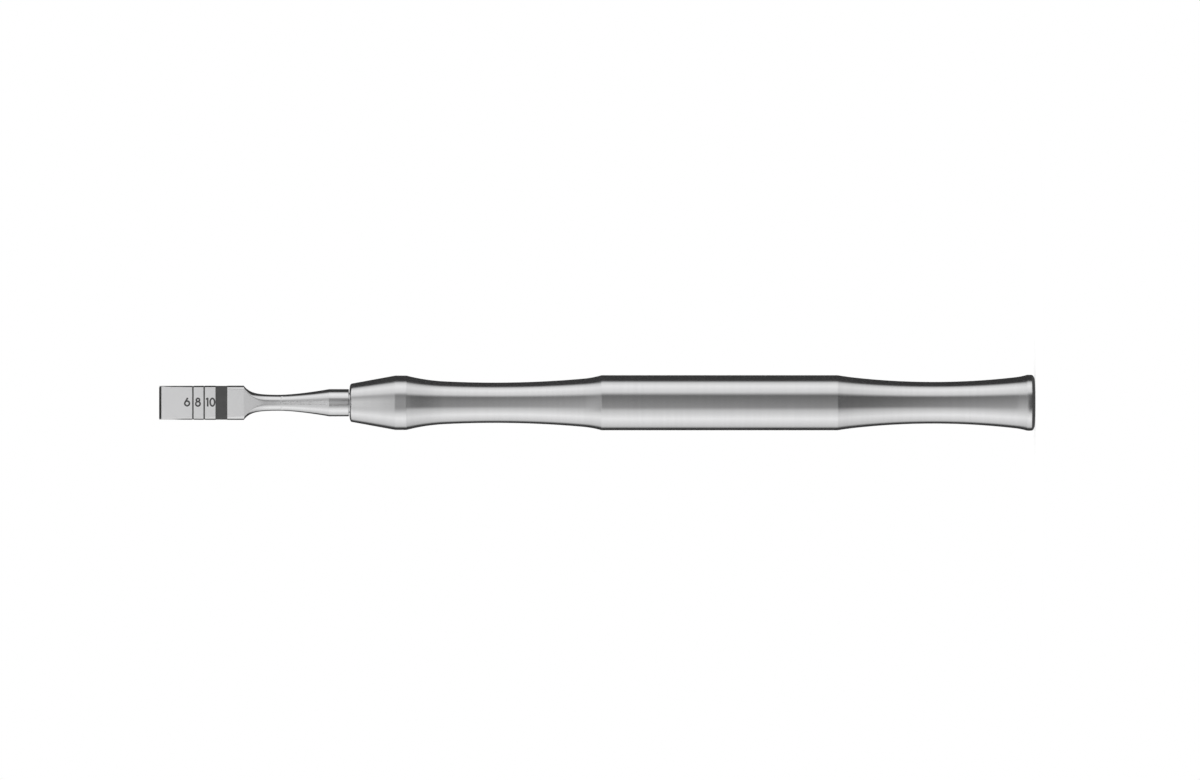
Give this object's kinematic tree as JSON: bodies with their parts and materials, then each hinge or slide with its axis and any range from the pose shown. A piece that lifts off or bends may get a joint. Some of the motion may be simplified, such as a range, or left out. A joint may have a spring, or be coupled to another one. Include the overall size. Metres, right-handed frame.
{
  "type": "osteotome",
  "caption": "Straight bone osteotome: flat double-bevelled blade with depth marks on a slim neck, and a round waisted steel handle with a flat striking end.",
  "frame": {"origin": "centre of the flat striking face at the handle's end", "axes": "+Z along the tool's axis to the cutting edge, +X along the width of the blade, -Y out of the blade's marked face"},
  "size_m": [0.01, 0.01, 0.155],
  "materials": {
    "handle_steel": "satin, turned",
    "tip_steel": "fine satin, with dark laser-marked depth lines"
  },
  "bodies": {
    "root": {"handle": "handle_steel", "working_tip": "tip_steel"}
  },
  "joints": []
}
